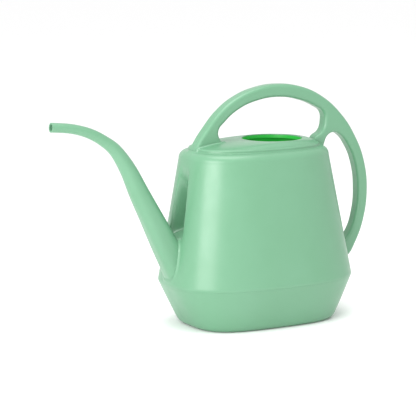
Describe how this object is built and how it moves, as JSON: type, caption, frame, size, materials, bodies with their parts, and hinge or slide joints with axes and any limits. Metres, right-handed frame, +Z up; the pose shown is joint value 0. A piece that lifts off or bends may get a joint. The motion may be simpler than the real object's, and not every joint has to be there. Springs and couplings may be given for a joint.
{
  "type": "watering can",
  "caption": "Plastic watering can with a tapered tank, a domed deck with a round fill opening, a hoop handle that is also the rear grip, and a long gooseneck spout.",
  "frame": {"origin": "middle of the flat foot, on the surface that the can stands on", "axes": "+Z up, -X towards the spout, +X towards the rear grip, the can symmetric about the plane Y = 0"},
  "size_m": [0.4411, 0.1648, 0.2939],
  "materials": {
    "mint_plastic": "satin moulded mint green polyethylene"
  },
  "bodies": {
    "root": {"base_pan": "mint_plastic", "tank_shell": "mint_plastic", "top_deck": "mint_plastic", "handle_left": "mint_plastic", "handle_right": "mint_plastic", "spout": "mint_plastic"}
  },
  "joints": []
}
